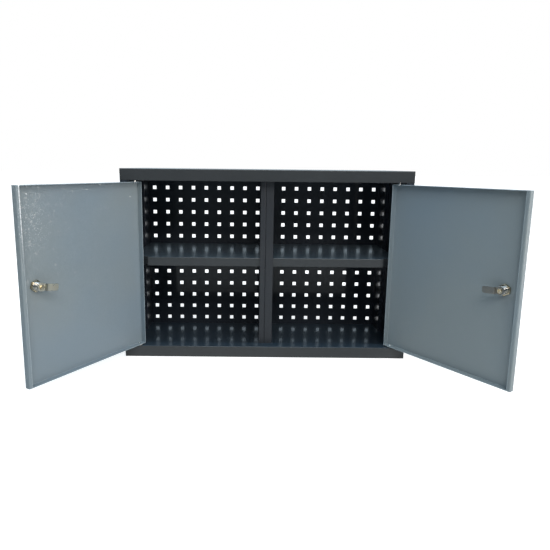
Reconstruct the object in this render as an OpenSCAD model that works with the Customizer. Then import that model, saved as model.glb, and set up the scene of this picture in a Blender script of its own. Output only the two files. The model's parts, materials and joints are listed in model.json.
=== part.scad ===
// Wall-type tool cabinet in folded sheet steel: perforated back, a double
// centre divider, one shelf in each half and two cam-locked pan doors.
// X runs to the right, Y to the back and Z up. The origin is the middle of
// the cabinet's underside, so the doors open towards -Y.

/* [Cabinet] */
// Width over the side panels
cabinet_w = 705; // [690:5:760]
// Height over the top and bottom panels
cabinet_h = 470; // [460:2:520]
// Depth from the front lips to the back panel
cabinet_d = 283; // [270:1:320]
// Thickness of the folded sheet
sheet = 1; // [0.8:0.1:1]
// Outside radius of each fold
fold_r = 2; // [1.6:0.1:2.4]

/* [Front frame] */
// Height of the top and bottom lips
lip_h = 28.5; // [26:0.5:32]
// Depth of the ledge folded back from each lip
ledge_d = 29; // [26:0.5:29]
// Height of the hem at the back of each ledge
ledge_hem_h = 9; // [6:0.5:12]
// Width of the front flange on each side panel
jamb_w = 18; // [14:0.5:18]

/* [Perforated back] */
// Columns of square holes
hole_columns = 18; // [10:1:18]
// Rows of square holes
hole_rows = 12; // [6:1:12]
// Side of one square hole
hole_size = 10; // [6:0.5:10]
// Distance between columns
hole_pitch_x = 38; // [34:0.5:38]
// Distance between rows
hole_pitch_z = 35.8; // [34:0.1:35.8]
// Height of the lowest row
first_row_z = 20.1; // [18:0.1:24]
// Distance between the two wall screw holes
wall_hole_spacing = 608; // [532:76:608]
// Height of the wall screw holes
wall_hole_z = 442; // [438:1:446]
// Diameter of the wall screw holes
wall_hole_d = 8.5; // [5:0.5:9]

/* [Rear posts] */
// Depth of each rear corner post along the side panel
post_d = 65; // [50:1:80]
// How far each post stands in from the outer side
post_inset = 12.5; // [10:0.5:16]

/* [Divider] */
// Place of the seam between the two divider halves
divider_x = -1.5; // [-3:0.5:0]
// Width of the left front flange
left_flange_w = 13.2; // [12:0.1:16]
// Width of the right front flange
right_flange_w = 19.3; // [16:0.1:20]

/* [Shelves] */
// Height of the shelf surface
shelf_z = 249.5; // [240:0.5:252]
// Height of the front lip of a shelf
shelf_lip_h = 22.5; // [20:0.5:24]
// Distance from the front lips of the cabinet to the shelf lip
shelf_setback = 38; // [38:0.5:44]
// Half-width at which the shelf corners step back
shelf_notch_x = 298.5; // [290:0.5:310]
// How far the shelf corners step back
shelf_notch_d = 12; // [8:0.5:20]

/* [Doors] */
// Depth of a door pan
door_t = 14.5; // [13:0.5:14.5]
// Distance of the closed door face behind the front lips
door_recess = 5; // [5:0.5:6]
// Gap under a door
door_gap_bottom = 2.5; // [2.5:0.1:3]
// Gap over a door
door_gap_top = 3.5; // [3:0.1:4]
// Gap between the two closed doors
door_gap_middle = 3; // [3:0.5:5]
// Width of the lip folded in at the free edge
door_lip_w = 7.5; // [6:0.5:9]
// Distance of a hinge axis from the outer side
hinge_inset = 33.5; // [33:0.5:34]
// Distance of the hinge-side edge from the hinge axis
hinge_overhang = 12.5; // [11:0.5:12.5]
// Opening angle of the left door
left_open_angle = 122; // [0:1:130]
// Opening angle of the right door
right_open_angle = 124.5; // [0:0.5:130]

/* [Hinges] */
// Diameter of a hinge pin
pin_d = 5; // [4:0.5:5]
// Diameter of a pin head
pin_head_d = 6.4; // [6:0.1:6.4]
// Diameter of the lower bush flanges and washers
bush_flange_d = 15; // [10:0.5:15]

/* [Cam locks] */
// Distance of a lock axis from the free edge of its door
lock_inset = 37; // [34:0.5:38]
// Diameter of the threaded lock body
lock_d = 18; // [16:0.2:19]
// Diameter of the lock's outer collar
lock_collar_d = 23; // [22:0.5:25]
// Length of the lock body behind the door face
lock_length = 20; // [19:0.5:21]
// Diameter of the turning plug
plug_d = 12.9; // [11:0.1:13]
// Width of the hexagonal nut across its flats
nut_af = 22; // [22:0.5:24]
// Turn of the left lock nut from corners level
left_nut_angle = 15; // [0:5:30]
// Turn of the right lock nut from corners level
right_nut_angle = 30; // [0:5:30]
// Length of a cam from the lock axis to its tip
cam_length = 34.7; // [32:0.1:34.7]
// Width of a cam
cam_w = 14; // [12:0.5:16]
// Diameter of a cam's round end
cam_hub_d = 17; // [16:0.5:17]
// Thickness of a cam
cam_t = 2; // [1.5:0.5:2]
// Angle of the left cam below level
left_cam_angle = 9; // [0:0.5:180]
// Angle of the right cam below level
right_cam_angle = 4; // [0:0.5:180]

/* [Hidden] */
$fn = 48;
fit = 0.1;
running_fit = 0.05;
thread_fit = 0.02;
over = 1;
front_y = -cabinet_d / 2;
back_y = cabinet_d / 2;
side_x = cabinet_w / 2;
inner_x = side_x - sheet;
fold_mid_r = fold_r - sheet / 2;
half = sheet / 2;

opening_z0 = lip_h;
opening_z1 = cabinet_h - lip_h;
post_x = side_x - post_inset;
post_y = back_y - sheet - post_d;
divider_y = front_y + ledge_d + fit;
shelf_y = front_y + shelf_setback;
shelf_back_y = back_y - sheet - fit;
shelf_gap = 0.5;
shelf_outer_x = post_x - shelf_gap;
shelf_hem_d = 10;
shelf_side_h = 15;

door_z0 = opening_z0 + door_gap_bottom;
door_z1 = opening_z1 - door_gap_top;
door_y0 = front_y + door_recess;
door_y1 = door_y0 + door_t;
door_x1 = -door_gap_middle / 2;
hinge_x = side_x - hinge_inset;
hinge_setback = 4.5;
hinge_y = door_y0 + hinge_setback;
door_x0 = -hinge_x - hinge_overhang;
door_side_r = 2.8;
door_end_r = 1.8;

bush_d = 8;
bush_flange_t = 1.3;
bush_depth = 5;
washer_t = door_gap_bottom - bush_flange_t - running_fit;
pin_head_t = 2.4;
pin_dome_r = 0.6 * pin_head_d;
pin_reach = 11;

lock_x = door_x1 - lock_inset;
lock_rise = 1.5;
lock_z = (door_z0 + door_z1) / 2 + lock_rise;
collar_t = 2.6;
nut_t = 5;
cam_gap = 0.3;
cam_y = door_y0 + lock_length + cam_gap;
cam_end_y = cam_y + cam_t;
cam_tip_r = 4;
cam_bend_x = 8;
cam_bend_angle = 60;
cam_divider_gap = 0.6;
cam_crank = divider_y + sheet + cam_divider_gap - cam_y;
shank_w = 8;
shank_end_y = cam_end_y - fit;
screw_head_af = 8;
screw_head_t = 2.6;
screw_washer_d = 10.5;
screw_washer_t = 0.8;
screw_d = 5;
screw_depth = 9;
key_slot_w = 1.4;
key_slot_h = 7.4;
key_slot_depth = 3;
cam_notch_h = 32;
cam_notch_d = 9;

clip_t = 2;
clip_w = 16;
clip_tongue = 11;
clip_leg_h = 15;
clip_from_lip = 45;
clip_from_back = 40;
clip_z = shelf_z - shelf_side_h;
clip_front_y = shelf_y + clip_from_lip;
clip_back_y = back_y - clip_from_back;

body_grey = [0.20, 0.21, 0.22];
door_blue = [0.52, 0.57, 0.61];
zinc = [0.78, 0.76, 0.68];
steel = [0.62, 0.63, 0.64];
nylon = [0.85, 0.85, 0.82];

// Direction of the step from one point to the next
function heading(a, b) = (b - a) / norm(b - a);

// One flat run of a folded section, shortened where it meets a fold
module flat_run(a, b, cut_a, cut_b) {
    d = heading(a, b);
    n = [-d[1], d[0]] * half;
    p = a + d * cut_a;
    q = b - d * cut_b;
    polygon([p + n, q + n, q - n, p - n]);
}

// One quarter-round fold between an incoming and an outgoing run
module fold(at, d_in, d_out) {
    centre = at - d_in * fold_mid_r + d_out * fold_mid_r;
    reach = fold_r + sheet;
    translate(centre)
        intersection() {
            difference() {
                circle(r = fold_mid_r + half);
                circle(r = fold_mid_r - half);
            }
            polygon([[0, 0], -d_out * reach, (d_in - d_out) * reach, d_in * reach]);
        }
}

// A folded sheet of some length whose middle line runs through points
module folded_sheet(points, length) {
    last = len(points) - 1;
    for (i = [0 : last - 1])
        linear_extrude(length)
            flat_run(
                points[i], points[i + 1],
                i == 0 ? 0 : fold_mid_r,
                i == last - 1 ? 0 : fold_mid_r
            );
    for (i = [1 : 1 : last - 1])
        linear_extrude(length)
            fold(
                points[i], heading(points[i - 1], points[i]),
                heading(points[i], points[i + 1])
            );
}

// A folded sheet from x0 to x1 whose points are in Y and Z
module folded_along_x(points, x0, x1) {
    translate([x0, 0, 0])
        rotate([90, 0, 90])
            folded_sheet(points, x1 - x0);
}

// A folded sheet from z0 to z1 whose points are in X and Y
module folded_along_z(points, z0, z1) {
    translate([0, 0, z0])
        folded_sheet(points, z1 - z0);
}

// A box between two corners
module box(from, to) {
    translate(from)
        cube(to - from);
}

// Extrudes a shape drawn in X and Y from z0 to z1
module along_z(z0, z1) {
    translate([0, 0, z0])
        linear_extrude(z1 - z0)
            children();
}

// Extrudes a shape drawn in Z and Y from x0 to x1
module along_x(x0, x1) {
    translate([x1, 0, 0])
        rotate([0, -90, 0])
            linear_extrude(x1 - x0)
                children();
}

// A cylinder that runs back along Y
module bar_y(x, z, y0, y1, d) {
    translate([x, y0, z])
        rotate([-90, 0, 0])
            cylinder(d = d, h = y1 - y0);
}

// A hexagonal prism of width af across its flats
module hexagon(af, h) {
    cylinder(d = af / cos(30), h = h, $fn = 6);
}

// Bores for the two hinge bushes through a ledge
module bush_bores(z) {
    for (side = [-1, 1])
        translate([side * hinge_x, hinge_y, z - bush_depth])
            cylinder(d = bush_d, h = 2 * bush_depth);
}

// A horizontal panel with its lip, ledge and hem, drawn as the bottom one
module lipped_panel() {
    lip_y = front_y + half;
    ledge_z = lip_h - half;
    ledge_back_y = front_y + ledge_d - half;
    folded_along_x(
        [[back_y, half], [lip_y, half], [lip_y, lip_h - sheet]],
        -side_x, side_x
    );
    folded_along_x(
        [
            [lip_y, fold_r], [lip_y, ledge_z], [ledge_back_y, ledge_z],
            [ledge_back_y, ledge_z - ledge_hem_h]
        ],
        -inner_x + fit, inner_x - fit
    );
}

module top_panel() {
    color(body_grey)
        difference() {
            translate([0, 0, cabinet_h])
                mirror([0, 0, 1])
                    lipped_panel();
            bush_bores(opening_z1);
        }
}

module bottom_panel() {
    color(body_grey)
        difference() {
            lipped_panel();
            bush_bores(opening_z0);
        }
}

// A side panel with its front flange, drawn on the left
module side_panel() {
    wall_x = -side_x + half;
    wall_y0 = front_y + sheet + fit;
    folded_along_z(
        [[wall_x, back_y], [wall_x, front_y + half], [-side_x + jamb_w, front_y + half]],
        opening_z0 + fit, opening_z1 - fit
    );
    box([-side_x, wall_y0, sheet], [-inner_x, back_y, cabinet_h - sheet]);
}

module left_side_panel() {
    color(body_grey)
        side_panel();
}

module right_side_panel() {
    color(body_grey)
        mirror([1, 0, 0])
            side_panel();
}

module back_panel() {
    grid_w = (hole_columns - 1) * hole_pitch_x;
    panel_x = inner_x - fit;
    color(body_grey)
        translate([0, back_y, 0])
            rotate([90, 0, 0])
                linear_extrude(sheet)
                    difference() {
                        translate([-panel_x, sheet + fit])
                            square([2 * panel_x, cabinet_h - 2 * (sheet + fit)]);
                        for (i = [0 : hole_columns - 1], j = [0 : hole_rows - 1])
                            translate([i * hole_pitch_x - grid_w / 2, first_row_z + j * hole_pitch_z])
                                square(hole_size, center = true);
                        for (side = [-1, 1])
                            translate([side * wall_hole_spacing / 2, wall_hole_z])
                                circle(d = wall_hole_d);
                    }
}

// A rear corner post, drawn on the right
module rear_post() {
    folded_along_z(
        [
            [inner_x - fit, post_y + half], [post_x + half, post_y + half],
            [post_x + half, back_y - sheet - fit]
        ],
        sheet + fit, cabinet_h - sheet - fit
    );
}

module left_rear_post() {
    color(body_grey)
        mirror([1, 0, 0])
            rear_post();
}

module right_rear_post() {
    color(body_grey)
        rear_post();
}

// One half of the divider: a web and a front flange that runs to flange_x
module divider_half(web_x, flange_x) {
    difference() {
        folded_along_z(
            [
                [flange_x, divider_y + half], [web_x, divider_y + half],
                [web_x, back_y - sheet - fit]
            ],
            sheet + fit, cabinet_h - sheet - fit
        );
        box(
            [divider_x - fold_r, divider_y + sheet, lock_z - cam_notch_h / 2],
            [divider_x + fold_r, divider_y + sheet + cam_notch_d, lock_z + cam_notch_h / 2]
        );
    }
}

module divider_left_half() {
    color(body_grey)
        divider_half(divider_x - half, divider_x - left_flange_w);
}

module divider_right_half() {
    color(body_grey)
        divider_half(divider_x + half, divider_x + right_flange_w);
}

// A stretch of shelf with rear hem, deck, front lip and the hem under it
module shelf_stretch(lip_y, x0, x1) {
    deck_z = shelf_z - half;
    hem_z = shelf_z - shelf_lip_h + half;
    folded_along_x(
        [
            [shelf_back_y - half, shelf_z - shelf_side_h], [shelf_back_y - half, deck_z],
            [lip_y + half, deck_z], [lip_y + half, hem_z], [lip_y + shelf_hem_d, hem_z]
        ],
        x0, x1
    );
}

// A shelf with stepped-back outer corner, drawn on the right from x0
module shelf(x0) {
    side_z0 = shelf_z - shelf_side_h;
    side_y0 = shelf_y + shelf_notch_d + fold_r;
    shelf_stretch(shelf_y, x0, shelf_notch_x);
    shelf_stretch(shelf_y + shelf_notch_d, shelf_notch_x, shelf_outer_x);
    for (x = [x0, shelf_outer_x - sheet])
        box([x, side_y0, side_z0], [x + sheet, shelf_back_y - fold_r, shelf_z - half]);
}

module left_shelf() {
    color(body_grey)
        mirror([1, 0, 0])
            shelf(sheet + shelf_gap - divider_x);
}

module right_shelf() {
    color(body_grey)
        shelf(divider_x + sheet + shelf_gap);
}

// A shelf clip whose leg stands against a wall at x; way is +1 or -1
module shelf_clip(x, y, way) {
    along = way * clip_tongue;
    leg = way * clip_t;
    box(
        [min(x, x + along), y - clip_w / 2, clip_z - clip_t],
        [max(x, x + along), y + clip_w / 2, clip_z]
    );
    box(
        [min(x, x + leg), y - clip_w / 2, clip_z - clip_leg_h],
        [max(x, x + leg), y + clip_w / 2, clip_z - clip_t]
    );
}

// The four clips of one shelf, drawn on the right; inner_face is the divider
module shelf_clips(inner_face) {
    for (y = [clip_front_y, clip_back_y])
        shelf_clip(inner_face, y, 1);
    shelf_clip(post_x, clip_back_y, -1);
    box(
        [inner_x - clip_tongue - post_inset, clip_front_y - clip_w / 2, clip_z - clip_t],
        [inner_x, clip_front_y + clip_w / 2, clip_z]
    );
    box(
        [inner_x - clip_t, clip_front_y - clip_w / 2, clip_z - clip_leg_h],
        [inner_x, clip_front_y + clip_w / 2, clip_z - clip_t]
    );
}

module left_shelf_clips() {
    color(zinc)
        mirror([1, 0, 0])
            shelf_clips(sheet - divider_x);
}

module right_shelf_clips() {
    color(zinc)
        shelf_clips(divider_x + sheet);
}

// The flanged lower and the plain upper bush of one door, bored for the pins
module hinge_bushes(side) {
    translate([side * hinge_x, hinge_y, 0])
        difference() {
            union() {
                translate([0, 0, opening_z0])
                    cylinder(d = bush_flange_d, h = bush_flange_t);
                translate([0, 0, opening_z0 - bush_depth])
                    cylinder(d = bush_d, h = bush_depth + half);
                translate([0, 0, opening_z1])
                    cylinder(d = bush_d, h = bush_depth);
            }
            cylinder(d = pin_d + 2 * running_fit, h = cabinet_h);
        }
}

module left_hinge_bushes() {
    color(nylon)
        hinge_bushes(-1);
}

module right_hinge_bushes() {
    color(nylon)
        hinge_bushes(1);
}

// The washer that carries a door on its lower bush
module hinge_washer(side) {
    translate([side * hinge_x, hinge_y, opening_z0 + bush_flange_t])
        difference() {
            cylinder(d = bush_flange_d, h = washer_t);
            translate([0, 0, -over])
                cylinder(d = pin_d + 2 * running_fit, h = washer_t + 2 * over);
        }
}

module left_hinge_washer() {
    color(zinc)
        hinge_washer(-1);
}

module right_hinge_washer() {
    color(zinc)
        hinge_washer(1);
}

// Turns the left door and what it carries from closed to its open angle
module on_left_door() {
    translate([-hinge_x, hinge_y, 0])
        rotate([0, 0, -left_open_angle])
            translate([hinge_x, -hinge_y, 0])
                children();
}

// The right door is the left one mirrored, then turned about its own hinge
module on_right_door() {
    translate([hinge_x, hinge_y, 0])
        rotate([0, 0, right_open_angle])
            translate([-hinge_x, -hinge_y, 0])
                mirror([1, 0, 0])
                    children();
}

// Section of a pan across its height, rounded on the face side
module height_section(z0, z1, y0, y1, r) {
    translate([z0 + r, y0])
        square([z1 - z0 - 2 * r, y1 - y0]);
    translate([z0, y0 + r])
        square([z1 - z0, y1 - y0 - r]);
    for (z = [z0 + r, z1 - r])
        translate([z, y0 + r])
            circle(r = r);
}

// Section of a pan across its width, rounded at the free edge's lip as well
module width_section(x0, x1, y0, y1, r) {
    translate([x0 + r, y0])
        square([x1 - x0 - 2 * r, y1 - y0]);
    translate([x0, y0 + r])
        square([x1 - x0 - r, y1 - y0 - r]);
    translate([x0, y0 + r])
        square([x1 - x0, y1 - y0 - 2 * r]);
    for (at = [[x0 + r, y0 + r], [x1 - r, y0 + r], [x1 - r, y1 - r]])
        translate(at)
            circle(r = r);
}

// The hollow of a closed door pan, which runs out through its open side
module door_hollow() {
    open_w = door_x1 - door_lip_w - door_x0 - sheet;
    intersection() {
        along_z(door_z0, door_z1) {
            width_section(
                door_x0 + sheet, door_x1 - sheet, door_y0 + sheet, door_y1 - sheet,
                door_side_r - sheet
            );
            translate([door_x0 + sheet, door_y0 + door_t / 2])
                square([open_w, door_t / 2 + over]);
        }
        along_x(door_x0, door_x1)
            height_section(
                door_z0 + sheet, door_z1 - sheet, door_y0 + sheet, door_y1 + over,
                door_end_r - sheet
            );
    }
}

// A closed door pan on the left side
module door_pan() {
    difference() {
        intersection() {
            along_z(door_z0, door_z1)
                width_section(door_x0, door_x1, door_y0, door_y1, door_side_r);
            along_x(door_x0, door_x1)
                height_section(door_z0, door_z1, door_y0, door_y1, door_end_r);
        }
        door_hollow();
        bar_y(lock_x, lock_z, door_y0 - over, door_y0 + sheet + over, lock_d);
        translate([-hinge_x, hinge_y, door_z0 - over])
            cylinder(d = pin_d, h = door_z1 - door_z0 + 2 * over);
    }
}

module left_door() {
    color(door_blue)
        on_left_door()
            door_pan();
}

module right_door() {
    color(door_blue)
        on_right_door()
            door_pan();
}

// A headed hinge pin with its domed head inside the pan and its shank down
module hinge_pin() {
    intersection() {
        cylinder(d = pin_head_d, h = pin_head_t);
        translate([0, 0, pin_head_t - pin_dome_r])
            sphere(r = pin_dome_r);
    }
    translate([0, 0, -pin_reach])
        cylinder(d = pin_d, h = pin_reach + half);
}

module lower_pin() {
    translate([-hinge_x, hinge_y, door_z0 + sheet])
        hinge_pin();
}

module upper_pin() {
    translate([-hinge_x, hinge_y, door_z1 - sheet])
        mirror([0, 0, 1])
            hinge_pin();
}

module left_upper_hinge_pin() {
    color(zinc)
        on_left_door()
            upper_pin();
}

module left_lower_hinge_pin() {
    color(zinc)
        on_left_door()
            lower_pin();
}

module right_upper_hinge_pin() {
    color(zinc)
        on_right_door()
            upper_pin();
}

module right_lower_hinge_pin() {
    color(zinc)
        on_right_door()
            lower_pin();
}

// The fixed lock housing: collar on the door face and a threaded body
module lock_body() {
    difference() {
        union() {
            bar_y(lock_x, lock_z, door_y0 - collar_t, door_y0, lock_collar_d);
            bar_y(lock_x, lock_z, door_y0 - collar_t / 2, door_y0 + lock_length, lock_d);
        }
        bar_y(
            lock_x, lock_z, door_y0 - collar_t - over, door_y0 + lock_length + over,
            plug_d + 2 * running_fit
        );
    }
}

module left_lock_body() {
    color(steel)
        on_left_door()
            lock_body();
}

module right_lock_body() {
    color(steel)
        on_right_door()
            lock_body();
}

// The hexagonal nut that clamps the lock to the inside of the door
module lock_nut(angle) {
    nut_y = door_y0 + sheet;
    difference() {
        translate([lock_x, nut_y, lock_z])
            rotate([-90, angle, 0])
                hexagon(nut_af, nut_t);
        bar_y(lock_x, lock_z, nut_y - over, nut_y + nut_t + over, lock_d + 2 * thread_fit);
    }
}

module left_lock_nut() {
    color(zinc)
        on_left_door()
            lock_nut(left_nut_angle);
}

module right_lock_nut() {
    color(zinc)
        on_right_door()
            lock_nut(right_nut_angle);
}

// Turns what the key turns about the lock axis, cam tip downwards
module turned(angle) {
    translate([lock_x, 0, lock_z])
        rotate([0, -angle, 0])
            translate([-lock_x, 0, -lock_z])
                children();
}

// The plug that the key turns, with its slot and its square shank
module lock_plug() {
    face_y = door_y0 - collar_t;
    difference() {
        union() {
            bar_y(lock_x, lock_z, face_y, cam_y, plug_d);
            box(
                [lock_x - shank_w / 2, cam_y - over, lock_z - shank_w / 2],
                [lock_x + shank_w / 2, shank_end_y, lock_z + shank_w / 2]
            );
        }
        box(
            [lock_x - key_slot_w / 2, face_y - over, lock_z - key_slot_h / 2],
            [lock_x + key_slot_w / 2, face_y + key_slot_depth, lock_z + key_slot_h / 2]
        );
        bar_y(lock_x, lock_z, shank_end_y - screw_depth, shank_end_y + over, screw_d);
    }
}

module left_lock_plug() {
    color(steel)
        on_left_door()
            turned(left_cam_angle)
                lock_plug();
}

module right_lock_plug() {
    color(steel)
        on_right_door()
            turned(right_cam_angle)
                lock_plug();
}

// The cam, pointing away from the divider, with a square hole for the shank and
// a crank that lets its blade pass behind the divider's flanges
module cam() {
    hole_w = shank_w + 2 * running_fit;
    hub_reach = cam_hub_d / 2 + over;
    crank_end_x = cam_bend_x + cam_crank / tan(cam_bend_angle);
    bend_shift = cam_t * tan(cam_bend_angle / 2);
    difference() {
        intersection() {
            translate([lock_x, cam_end_y + cam_crank, lock_z])
                rotate([90, 0, 0])
                    linear_extrude(cam_t + cam_crank) {
                        circle(d = cam_hub_d);
                        translate([-cam_length + cam_tip_r, -cam_w / 2])
                            square([cam_length - cam_tip_r, cam_w]);
                        translate([-cam_length, -cam_w / 2 + cam_tip_r])
                            square([2 * cam_tip_r, cam_w - 2 * cam_tip_r]);
                        for (z = [-1, 1])
                            translate([-cam_length + cam_tip_r, z * (cam_w / 2 - cam_tip_r)])
                                circle(r = cam_tip_r);
                    }
            translate([lock_x, cam_y, lock_z - hub_reach])
                linear_extrude(2 * hub_reach)
                    polygon([
                        [hub_reach, 0], [-cam_bend_x, 0],
                        [-crank_end_x, cam_crank], [-cam_length - over, cam_crank],
                        [-cam_length - over, cam_crank + cam_t],
                        [-crank_end_x + bend_shift, cam_crank + cam_t],
                        [-cam_bend_x + bend_shift, cam_t], [hub_reach, cam_t]
                    ]);
        }
        box(
            [lock_x - hole_w / 2, cam_y - over, lock_z - hole_w / 2],
            [lock_x + hole_w / 2, cam_end_y + over, lock_z + hole_w / 2]
        );
    }
}

module left_cam() {
    color(zinc)
        on_left_door()
            turned(left_cam_angle)
                cam();
}

module right_cam() {
    color(zinc)
        on_right_door()
            turned(right_cam_angle)
                cam();
}

// The screw that holds the cam on the plug, with a hexagonal head and washer
module cam_screw() {
    head_y = cam_end_y + screw_washer_t / 2;
    bar_y(lock_x, lock_z, cam_end_y, cam_end_y + screw_washer_t, screw_washer_d);
    translate([lock_x, head_y, lock_z])
        rotate([-90, 0, 0])
            hexagon(screw_head_af, screw_head_t);
    bar_y(lock_x, lock_z, shank_end_y - screw_depth + over, head_y, screw_d);
}

module left_cam_screw() {
    color(zinc)
        on_left_door()
            turned(left_cam_angle)
                cam_screw();
}

module right_cam_screw() {
    color(zinc)
        on_right_door()
            turned(right_cam_angle)
                cam_screw();
}

top_panel();
bottom_panel();
left_side_panel();
right_side_panel();
back_panel();
left_rear_post();
right_rear_post();
divider_left_half();
divider_right_half();
left_shelf();
right_shelf();
left_shelf_clips();
right_shelf_clips();
left_hinge_bushes();
right_hinge_bushes();
left_hinge_washer();
right_hinge_washer();
left_door();
right_door();
left_upper_hinge_pin();
left_lower_hinge_pin();
right_upper_hinge_pin();
right_lower_hinge_pin();
left_lock_body();
right_lock_body();
left_lock_nut();
right_lock_nut();
left_lock_plug();
right_lock_plug();
left_cam();
right_cam();
left_cam_screw();
right_cam_screw();
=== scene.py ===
import json
import math

import bpy
from mathutils import Matrix, Vector


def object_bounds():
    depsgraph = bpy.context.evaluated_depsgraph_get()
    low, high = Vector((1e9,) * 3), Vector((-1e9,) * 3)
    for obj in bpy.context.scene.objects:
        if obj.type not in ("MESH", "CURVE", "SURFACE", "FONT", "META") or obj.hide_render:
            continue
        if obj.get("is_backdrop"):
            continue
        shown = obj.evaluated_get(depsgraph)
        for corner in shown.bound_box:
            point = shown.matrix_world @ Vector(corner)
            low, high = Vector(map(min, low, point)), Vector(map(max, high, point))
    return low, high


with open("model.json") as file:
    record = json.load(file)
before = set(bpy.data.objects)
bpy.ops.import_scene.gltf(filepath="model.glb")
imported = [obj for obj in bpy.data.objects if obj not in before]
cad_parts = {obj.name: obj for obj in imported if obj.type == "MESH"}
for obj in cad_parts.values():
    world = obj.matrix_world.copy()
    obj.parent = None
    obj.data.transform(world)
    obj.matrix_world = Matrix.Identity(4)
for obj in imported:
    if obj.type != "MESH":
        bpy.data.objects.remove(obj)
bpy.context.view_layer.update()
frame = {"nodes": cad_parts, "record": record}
nodes = frame["nodes"]
scene = bpy.context.scene

# Lengths are in metres and colours are linear. A pattern's scale is roughly
# the number of its features in a metre.


class Graph:
    """Short calls for building a node tree."""

    def __init__(self, tree):
        self.tree = tree
        tree.nodes.clear()

    def node(self, kind, **settings):
        made = self.tree.nodes.new(kind)
        for key, value in settings.items():
            setattr(made, key, value)
        return made

    def link(self, source, target):
        self.tree.links.new(source, target)

    def feed(self, target, value):
        """Links a socket, or sets a plain number, vector or colour."""
        if isinstance(value, bpy.types.NodeSocket):
            self.link(value, target)
        elif value is not None:
            target.default_value = value

    def fill(self, shader, sockets):
        """Feeds a shader's sockets by name."""
        for name, value in sockets.items():
            self.feed(shader.inputs[name], value)

    def math(self, operation, a, b=None):
        made = self.node("ShaderNodeMath", operation=operation)
        for socket, value in zip(made.inputs, (a, b)):
            self.feed(socket, value)
        return made.outputs[0]

    def product(self, first, *others):
        for other in others:
            first = self.math("MULTIPLY", first, other)
        return first

    def vector(self, operation, *values, output="Vector"):
        made = self.node("ShaderNodeVectorMath", operation=operation)
        for socket, value in zip(made.inputs, values):
            self.feed(socket, value)
        return made.outputs[output]

    def dot(self, a, b):
        return self.vector("DOT_PRODUCT", a, b, output="Value")

    def distance(self, vector, point):
        return self.vector("DISTANCE", vector, point, output="Value")

    def unit_sum(self, a, b):
        """The direction of two vectors' sum."""
        return self.vector("NORMALIZE", self.vector("ADD", a, b))

    def xyz(self, vector):
        """A vector's three numbers, by name."""
        made = self.node("ShaderNodeSeparateXYZ")
        self.link(vector, made.inputs[0])
        return made.outputs

    def place(self):
        """The point on the object at rest, which moves with its body."""
        return self.node("ShaderNodeTexCoord").outputs["Object"]

    def geometry_normal(self):
        return self.node("ShaderNodeNewGeometry").outputs["Normal"]

    def noise(self, vector, scale, detail=2.0, roughness=0.5, distortion=0.0):
        made = self.node("ShaderNodeTexNoise")
        self.feed(made.inputs["Vector"], vector)
        made.inputs["Scale"].default_value = scale
        made.inputs["Detail"].default_value = detail
        made.inputs["Roughness"].default_value = roughness
        made.inputs["Distortion"].default_value = distortion
        return made.outputs["Fac"]

    def cells(self, vector, scale):
        """A random colour for each cell of a Voronoi pattern."""
        made = self.node("ShaderNodeTexVoronoi")
        self.link(vector, made.inputs["Vector"])
        made.inputs["Scale"].default_value = scale
        return made.outputs["Color"]

    def remap(self, value, source, target=(0.0, 1.0), smooth=False):
        """Carries a range over to another one, and clamps to it."""
        made = self.node("ShaderNodeMapRange", clamp=True)
        if smooth:
            made.interpolation_type = "SMOOTHSTEP"
        self.feed(made.inputs["Value"], value)
        made.inputs["From Min"].default_value, made.inputs["From Max"].default_value = source
        self.feed(made.inputs["To Min"], target[0])
        self.feed(made.inputs["To Max"], target[1])
        return made.outputs["Result"]

    def mix(self, factor, a, b):
        """Goes from colour a to colour b as the factor goes from 0 to 1."""
        made = self.node("ShaderNodeMix", data_type="RGBA")
        self.feed(made.inputs["Factor"], factor)
        for socket, value in ((made.inputs[6], a), (made.inputs[7], b)):
            if not isinstance(value, bpy.types.NodeSocket):
                value = (*value, 1.0)
            self.feed(socket, value)
        return made.outputs[2]

    def bump(self, height, distance, strength, normal):
        made = self.node("ShaderNodeBump")
        made.inputs["Strength"].default_value = strength
        made.inputs["Distance"].default_value = distance
        self.feed(made.inputs["Height"], height)
        self.link(normal, made.inputs["Normal"])
        return made.outputs["Normal"]

    def bevel(self, radius, samples=6):
        """A normal that rounds sharp sheet edges."""
        made = self.node("ShaderNodeBevel", samples=samples)
        made.inputs["Radius"].default_value = radius
        return made.outputs["Normal"]

    def seen_directly(self, path):
        """Is 1 for what the camera sees, and 0 for light and reflections."""
        return self.math(
            "MAXIMUM", path.outputs["Is Camera Ray"], path.outputs["Is Transmission Ray"]
        )


def material(name):
    made = bpy.data.materials.new(name)
    made.use_nodes = True
    graph = Graph(made.node_tree)
    shader = graph.node("ShaderNodeBsdfPrincipled")
    out = graph.node("ShaderNodeOutputMaterial")
    graph.link(shader.outputs[0], out.inputs["Surface"])
    return made, graph, shader, graph.place()


def shade(colour, *gains):
    """A colour times one gain, or times a gain for each channel."""
    if len(gains) == 1:
        gains *= 3
    return tuple(min(1.0, channel * gain) for channel, gain in zip(colour, gains))


def edge_line(graph, radius):
    """Is 1 on folds and sheet edges and 0 on flat sheet."""
    agree = graph.dot(graph.bevel(radius, samples=8), graph.geometry_normal())
    return graph.remap(agree, (0.965, 0.998), (1.0, 0.0))


def facets(graph, place, scale, tilt, normal):
    """Tilts the normal by cells, as the flat spots of orange peel do."""
    swing = graph.vector(
        "MULTIPLY_ADD", graph.cells(place, scale), (2.0 * tilt,) * 3, (-tilt,) * 3
    )
    return graph.unit_sum(swing, normal)


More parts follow.
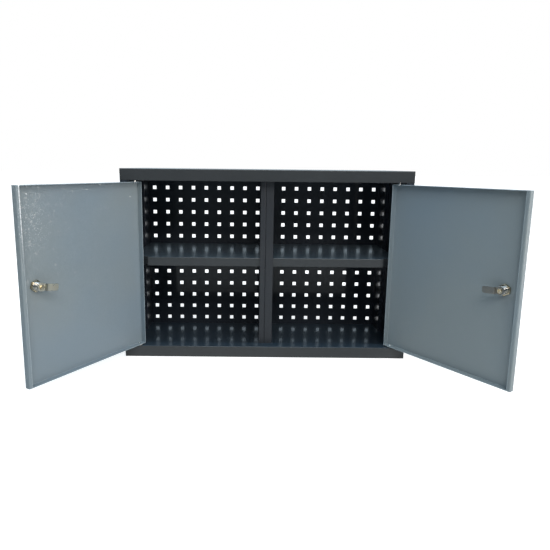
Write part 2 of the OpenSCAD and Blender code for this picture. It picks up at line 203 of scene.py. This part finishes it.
def powder_coat(name, colour, skylight, rough, specular, coat, coat_rough, peel=0.04):
    """Powder coat with orange peel, fine grain, and painted skylight: a tint on upward faces."""
    made, graph, shader, place = material(name)
    lighter = shade(colour, 1.06)
    cloud = graph.noise(place, 6.0, detail=3.0, roughness=0.55)
    base = graph.mix(graph.remap(cloud, (0.3, 0.7)), shade(colour, 0.94), lighter)
    grain = graph.noise(place, 1700.0, detail=1.0)
    base = graph.mix(graph.remap(grain, (0.62, 0.78), (0.0, 0.10)), base, lighter)
    # Painted skylight: upward faces take another tint, in patches, to stand in for light from
    # above.
    upward = graph.xyz(graph.geometry_normal())["Z"]
    lying = graph.remap(upward, (0.6, 0.95), (0.0, 0.75))
    patches = graph.noise(place, 12.0, detail=4.0, roughness=0.6)
    skylit = graph.product(lying, graph.remap(patches, (0.3, 0.6), (0.8, 1.0)))
    smear = graph.noise(place, 23.0, detail=4.0, roughness=0.6, distortion=0.4)
    waves = graph.noise(place, 330.0)
    fine = graph.noise(place, 1500.0, detail=1.0)
    rolled = graph.bump(waves, 0.0001, peel, graph.bevel(0.0007))
    graph.fill(
        shader,
        {
            "Base Color": graph.mix(skylit, base, skylight),
            "Roughness": graph.remap(smear, (0.3, 0.75), (rough * 0.88, rough * 1.18)),
            "Specular IOR Level": specular,
            "Normal": graph.bump(fine, 0.00002, 0.08, rolled),
            "Coat Weight": coat,
            "Coat Roughness": coat_rough,
            "Coat Normal": rolled,
        },
    )
    return made


# Painted highlights on the doors, placed where the photograph shows them: glints painted as light
# cells near the left door's free edge, and a broken painted highlight line on each door's
# free-edge fold.
GLINT_CELLS = 640.0
GLINT_MIDDLE = (-0.468, -0.385, 0.362)
GLINT_REACH = (0.012, 0.078)
GLINT_COLOUR = (0.62, 0.66, 0.70)
HIGHLIGHT_FOLDS = ((-0.4748, -0.4002, 0.0), (0.5025, -0.3911, 0.0))
FOLD_EDGE = (0.0014, 0.0024)
FOLD_HEIGHTS = (0.28, 0.40)
FOLD_HIGHLIGHT_COLOUR = (0.86, 0.88, 0.90)

# The lock axes of the doors as they are stored, pointing out of the inner
# faces.
LEFT_AXIS = (0.848048, -0.529919, 0.0)
RIGHT_AXIS = (-0.824126, -0.566406, 0.0)


def painted_door_glints(graph, place, chance, strength):
    """Painted glints: light cells painted on the left door's inner face, near its free edge."""
    painted_glint = graph.remap(chance, (0.87, 0.92), (0.0, 0.7))
    patch = graph.remap(graph.distance(place, GLINT_MIDDLE), GLINT_REACH, (1.0, 0.0), smooth=True)
    inward = graph.dot(graph.node("ShaderNodeTexCoord").outputs["Normal"], LEFT_AXIS)
    patch = graph.product(patch, graph.remap(inward, (0.5, 0.9)))
    return graph.product(painted_glint, strength, patch)


def painted_fold_highlight(graph, place, highlight_dashes):
    """A painted highlight: a broken light line on the doors' free-edge folds, brightest at the
    top.
    """
    part = graph.xyz(place)
    flat = graph.node("ShaderNodeCombineXYZ")
    graph.link(part["X"], flat.inputs["X"])
    graph.link(part["Y"], flat.inputs["Y"])
    away = graph.math("MINIMUM", *(graph.distance(flat.outputs[0], at) for at in HIGHLIGHT_FOLDS))
    return graph.product(
        graph.remap(away, FOLD_EDGE, (1.0, 0.0)),
        graph.remap(part["Z"], FOLD_HEIGHTS, (0.08, 1.0), smooth=True),
        graph.remap(highlight_dashes, (0.1, 0.5), (0.35, 1.0)),
    )


def door_coat(name, colour):
    """Blue-grey coat with orange peel, painted glints, and painted highlights on folds and edges.
    """
    made, graph, shader, place = material(name)
    cool, warm = shade(colour, 0.95, 0.99, 1.04), shade(colour, 1.04, 1.01, 0.97)
    cloud = graph.noise(place, 3.2, detail=3.0, roughness=0.55)
    base = graph.mix(graph.remap(cloud, (0.35, 0.65)), cool, warm)
    speck = graph.noise(place, 900.0, roughness=0.6)
    base = graph.mix(graph.remap(speck, (0.60, 0.74), (0.0, 0.22)), base, shade(colour, 1.25))
    # Painted highlight: folds and sheet edges painted up to twice as light as the face.
    line = graph.product(edge_line(graph, 0.0012), 0.85)
    base = graph.mix(line, base, shade(colour, 2.0))
    # The painted glints and the painted highlight on the free-edge folds take their random numbers
    # from these cells.
    pick = graph.node("ShaderNodeSeparateColor")
    graph.link(graph.cells(place, GLINT_CELLS), pick.inputs[0])
    chance, strength, highlight_dashes = pick.outputs
    # Painted glints: light cells near the left door's free edge.
    base = graph.mix(painted_door_glints(graph, place, chance, strength), base, GLINT_COLOUR)
    # Painted highlight: a broken light line on the free-edge folds.
    base = graph.mix(painted_fold_highlight(graph, place, highlight_dashes), base, FOLD_HIGHLIGHT_COLOUR)
    rub = graph.noise(place, 14.0, detail=4.0, roughness=0.6, distortion=0.5)
    edge = graph.bevel(0.0005)
    fine = graph.noise(place, 1100.0, detail=1.0)
    graph.fill(
        shader,
        {
            "Base Color": base,
            "Roughness": graph.remap(rub, (0.3, 0.7), (0.34, 0.46)),
            "Specular IOR Level": 0.12,
            "Normal": graph.bump(fine, 0.00002, 0.4, edge),
            "Coat Weight": 0.55,
            "Coat Roughness": 0.10,
            "Coat Normal": facets(graph, place, 360.0, 0.15, edge),
        },
    )
    return made


def metal_drift(graph, place):
    """Slow variation of a plated surface."""
    return graph.noise(place, 130.0, detail=3.0, roughness=0.6, distortion=0.8)


def plated(name, colour, tint, rough, streak, strength):
    """Plated metal with a drifting tint, fine scratches and soft edges."""
    made, graph, shader, place = material(name)
    drift = metal_drift(graph, place)
    base = graph.mix(graph.remap(drift, (0.42, 0.64), smooth=True), colour, tint)
    spots = graph.noise(place, 420.0, roughness=0.7)
    base = graph.mix(graph.remap(spots, (0.6, 0.8), (0.0, 0.5)), base, shade(colour, 0.72))
    drawn = graph.node("ShaderNodeMapping")
    drawn.inputs["Scale"].default_value = streak
    graph.link(place, drawn.inputs["Vector"])
    lines = graph.noise(drawn.outputs["Vector"], 900.0, roughness=0.6)
    graph.fill(
        shader,
        {
            "Metallic": 1.0,
            "Base Color": base,
            "Roughness": graph.remap(drift, (0.3, 0.7), (rough * 0.8, rough * 1.3)),
            "Normal": graph.bump(lines, 0.00003, strength, graph.bevel(0.00035)),
        },
    )
    return made


def threaded(name, colour, axis, pitch, slope):
    """Bright plated thread whose flanks lean along an axis."""
    made, graph, shader, place = material(name)
    drift = metal_drift(graph, place)
    turns = graph.product(graph.dot(place, axis), 2.0 * math.pi / pitch)
    lean = graph.product(graph.math("SINE", turns), slope)
    along = graph.node(
        "ShaderNodeVectorTransform",
        vector_type="VECTOR",
        convert_from="OBJECT",
        convert_to="WORLD",
    )
    along.inputs[0].default_value = axis
    shift = graph.node("ShaderNodeVectorMath", operation="SCALE")
    graph.link(along.outputs[0], shift.inputs[0])
    graph.link(lean, shift.inputs["Scale"])
    graph.fill(
        shader,
        {
            "Metallic": 1.0,
            "Base Color": graph.mix(
                graph.remap(drift, (0.4, 0.65)), colour, shade(colour, 0.85)
            ),
            "Roughness": graph.remap(drift, (0.3, 0.7), (0.16, 0.26)),
            "Normal": graph.unit_sum(shift.outputs[0], graph.bevel(0.0003)),
        },
    )
    return made


def moulded(name, colour):
    """Moulded nylon with a faint flow pattern."""
    made, graph, shader, place = material(name)
    flow = graph.noise(place, 160.0)
    fine = graph.noise(place, 1400.0, detail=1.0)
    graph.fill(
        shader,
        {
            "Base Color": graph.mix(graph.remap(flow, (0.35, 0.65)), shade(colour, 0.9), colour),
            "Roughness": graph.remap(flow, (0.3, 0.7), (0.42, 0.55)),
            "Subsurface Weight": 0.1,
            "Subsurface Radius": (0.001, 0.001, 0.001),
            "Normal": graph.bump(fine, 0.00002, 0.3, graph.bevel(0.0003)),
        },
    )
    return made


ANTHRACITE = (0.037, 0.041, 0.045)
# The tint painted on upward faces, as painted skylight.
SKYLIGHT_TINT = (0.022, 0.045, 0.072)
BRIGHT_PLATE = (0.74, 0.74, 0.73)
THREAD_PITCH = 0.001
EVEN = (1.0, 1.0, 1.0)
LENGTHWISE = (0.15, 0.15, 1.0)

body_coat = powder_coat(
    "body_coat", ANTHRACITE, SKYLIGHT_TINT, rough=0.34, specular=0.20, coat=0.6, coat_rough=0.12
)
cover_coat = powder_coat(
    "cover_coat",
    ANTHRACITE,
    skylight=(0.030, 0.037, 0.045),
    rough=0.34,
    specular=0.20,
    coat=0.6,
    coat_rough=0.12,
)
# Painted shade: a darker, bluer copy of the body paint for the back, sides and rear posts, which
# lie in the cabinet's shade.
inner_shaded_coat = powder_coat(
    "inner_shaded_coat",
    (0.024, 0.031, 0.044),
    SKYLIGHT_TINT,
    rough=0.34,
    specular=0.20,
    coat=0.35,
    coat_rough=0.04,
    peel=0.003,
)
# Painted shade: a slightly darker copy of the body paint for the recessed divider.
divider_shaded_coat = powder_coat(
    "divider_shaded_coat",
    (0.034, 0.038, 0.045),
    SKYLIGHT_TINT,
    rough=0.34,
    specular=0.20,
    coat=0.2,
    coat_rough=0.12,
)
# The shelves: a darker copy of the body paint, with much lighter, bluer upward faces as painted
# skylight on the shelf tops.
shelf_coat = powder_coat(
    "shelf_coat",
    (0.020, 0.025, 0.030),
    skylight=(0.085, 0.125, 0.165),
    rough=0.42,
    specular=0.40,
    coat=0.7,
    coat_rough=0.17,
)
dull = plated(
    "dull_zinc",
    (0.50, 0.50, 0.44),
    tint=(0.52, 0.50, 0.41),
    rough=0.30,
    streak=LENGTHWISE,
    strength=0.4,
)
# Painted shade: a darker copy of the dull zinc, used for the right cam only.
shaded_zinc = plated(
    "zinc_painted_shade",
    (0.22, 0.225, 0.22),
    tint=(0.24, 0.235, 0.22),
    rough=0.34,
    streak=LENGTHWISE,
    strength=0.4,
)
yellow = plated(
    "yellow_zinc",
    (0.52, 0.48, 0.38),
    tint=(0.52, 0.41, 0.25),
    rough=0.15,
    streak=EVEN,
    strength=0.3,
)
bright = plated(
    "bright_plate", BRIGHT_PLATE, tint=(0.70, 0.69, 0.66), rough=0.16, streak=EVEN, strength=0.15
)
by_slot = {
    "body_paint": body_coat,
    "door_paint": door_coat("door_coat", (0.205, 0.250, 0.280)),
    "bright_plate": bright,
    "dull_zinc": dull,
    "yellow_zinc": yellow,
    "nylon": moulded("nylon", (0.66, 0.66, 0.62)),
}
by_node = {
    "top_panel": cover_coat,
    "back_panel": inner_shaded_coat,
    "left_side_panel": inner_shaded_coat,
    "right_side_panel": inner_shaded_coat,
    "left_rear_post": inner_shaded_coat,
    "right_rear_post": inner_shaded_coat,
    "divider_left_half": divider_shaded_coat,
    "divider_right_half": divider_shaded_coat,
    "left_shelf": shelf_coat,
    "right_shelf": shelf_coat,
    "left_lock_body": threaded("left_thread", BRIGHT_PLATE, LEFT_AXIS, THREAD_PITCH, slope=0.9),
    "right_lock_body": threaded("right_thread", BRIGHT_PLATE, RIGHT_AXIS, THREAD_PITCH, slope=0.9),
    "right_cam": shaded_zinc,
}
for part in frame["record"]["subparts"]:
    held = nodes[part["node"]]
    finish = by_node.get(part["node"], by_slot[part["material_slot"]])
    if held.material_slots:
        for slot in held.material_slots:
            slot.material = finish
    else:
        held.data.materials.append(finish)


FLOOR_REACH = 30.0
FLOOR_FRONT = -1.9
FLOOR_DROP = 0.0003
FLOOR_PAINT = (0.68, 0.68, 0.67, 1.0)
WHITE = (1.0, 1.0, 1.0)


def floor():
    """A pale floor that is white to the camera away from the shadow."""
    mesh = bpy.data.meshes.new("floor")
    mesh.from_pydata(
        [
            (-FLOOR_REACH, FLOOR_FRONT, 0),
            (FLOOR_REACH, FLOOR_FRONT, 0),
            (FLOOR_REACH, FLOOR_REACH, 0),
            (-FLOOR_REACH, FLOOR_REACH, 0),
        ],
        [],
        [(0, 1, 2, 3)],
    )
    ground = bpy.data.objects.new("floor", mesh)
    ground.location.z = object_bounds()[0][2] - FLOOR_DROP
    scene.collection.objects.link(ground)
    made = bpy.data.materials.new("floor")
    made.use_nodes = True
    graph = Graph(made.node_tree)
    paper = graph.node("ShaderNodeBsdfDiffuse")
    paper.inputs["Color"].default_value = FLOOR_PAINT
    place = graph.place()
    behind = graph.remap(graph.xyz(place)["Y"], (-0.35, 0.15), smooth=True)
    away = graph.vector("LENGTH", place, output="Value")
    far = graph.remap(away, (0.45, 1.0), (0.72, 1.0), smooth=True)
    path = graph.node("ShaderNodeLightPath")
    mirrored = graph.product(path.outputs["Is Glossy Ray"], behind)
    seen = graph.math("MAXIMUM", graph.seen_directly(path), mirrored)
    glow = graph.node("ShaderNodeEmission")
    glow.inputs["Color"].default_value = (*WHITE, 1.0)
    graph.link(graph.product(seen, far), glow.inputs["Strength"])
    both = graph.node("ShaderNodeAddShader")
    graph.link(paper.outputs[0], both.inputs[0])
    graph.link(glow.outputs[0], both.inputs[1])
    out = graph.node("ShaderNodeOutputMaterial")
    graph.link(both.outputs[0], out.inputs["Surface"])
    mesh.materials.append(made)
    ground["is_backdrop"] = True


floor()

SKY = (0.74, 0.89, 1.0)
BEHIND_LEVELS = (0.30, 0.90)
FRONT_LEVELS = (0.12, 0.16)
OVERHEAD_LEVEL = 0.45


def surroundings():
    """White to the camera, and a dim sky that is darkest in front."""
    world = bpy.data.worlds.new("studio")
    scene.world = world
    world.use_nodes = True
    graph = Graph(world.node_tree)
    way = graph.xyz(graph.node("ShaderNodeTexCoord").outputs["Generated"])
    path = graph.node("ShaderNodeLightPath")
    behind = graph.remap(path.outputs["Is Glossy Ray"], (0.0, 1.0), BEHIND_LEVELS)
    front = graph.remap(way["X"], (-0.6, 0.7), FRONT_LEVELS, smooth=True)
    level = graph.remap(way["Y"], (-0.15, 0.45), (front, behind), smooth=True)
    overhead = graph.remap(way["Z"], (0.35, 0.95), (0.0, OVERHEAD_LEVEL), smooth=True)
    room = graph.math("ADD", level, overhead)
    seen = graph.seen_directly(path)
    lit = graph.product(graph.math("SUBTRACT", 1.0, seen), room)
    sky = graph.node("ShaderNodeBackground")
    graph.link(graph.mix(seen, SKY, WHITE), sky.inputs["Color"])
    graph.link(graph.math("ADD", lit, seen), sky.inputs["Strength"])
    out = graph.node("ShaderNodeOutputWorld")
    graph.link(sky.outputs[0], out.inputs["Surface"])


surroundings()


def lamp(name, at, to, size, watts, colour):
    data = bpy.data.lights.new(name, "AREA")
    data.shape = "RECTANGLE"
    data.size, data.size_y = size
    data.energy = watts
    data.color = colour
    made = bpy.data.objects.new(name, data)
    made.location = at
    made.rotation_euler = (Vector(to) - Vector(at)).to_track_quat("-Z", "Y").to_euler()
    scene.collection.objects.link(made)


# Name, place, target, size, watts and colour.
LAMPS = (
    ("key", (3.05, -1.75, 0.85), (-0.25, -0.25, 0.20), (1.2, 1.8), 55, (1.0, 0.91, 0.84)),
    ("front", (0.4, -2.1, 1.8), (0.0, -0.1, 0.2), (2.0, 0.9), 34, (1.0, 0.97, 0.92)),
    ("top", (0.0, -0.7, 2.5), (0.0, -0.3, 0.0), (1.8, 1.0), 18, (0.74, 0.90, 1.0)),
    ("fill", (-2.0, -0.4, 1.5), (0.4, -0.25, 0.2), (1.0, 0.8), 5, (0.70, 0.88, 1.0)),
    ("rim", (2.9, 1.4, 0.85), (0.0, -0.4, 0.4), (0.5, 0.5), 25, (1.0, 0.99, 0.97)),
    ("glint", (2.0, -0.26, 0.73), (-0.45, -0.35, 0.38), (0.07, 0.07), 1.0, (1.0, 0.98, 0.95)),
)
for settings in LAMPS:
    lamp(*settings)

# The camera, as fitted to the photograph. Its pixel values are for a picture
# of SIDE_PX by SIDE_PX.
CAMERA_AT = (-0.037135, -1.356594, 0.476822)
CAMERA_RIGHT = Vector((0.99993952, -0.00230037, 0.01075497))
CAMERA_FORWARD = Vector((0.00414009, 0.98468207, -0.17431030))
CAMERA_UP = Vector((-0.01018925, 0.17434429, 0.98463204))
FOCAL_PX = 503.78
CENTRE_PX = (253.149, 255.834)
SIDE_PX = 550.0

lens = bpy.data.cameras.new("camera")
lens.sensor_fit = "HORIZONTAL"
lens.sensor_width = 36.0
lens.lens = FOCAL_PX / SIDE_PX * lens.sensor_width
lens.shift_x = (SIDE_PX / 2 - CENTRE_PX[0]) / SIDE_PX
lens.shift_y = (CENTRE_PX[1] - SIDE_PX / 2) / SIDE_PX
lens.clip_start, lens.clip_end = 0.05, 100.0
camera = bpy.data.objects.new("camera", lens)
turn = Matrix((CAMERA_RIGHT, CAMERA_UP, -CAMERA_FORWARD)).transposed().to_4x4()
camera.matrix_world = Matrix.Translation(CAMERA_AT) @ turn
scene.collection.objects.link(camera)
scene.camera = camera

scene.view_settings.view_transform = "Standard"
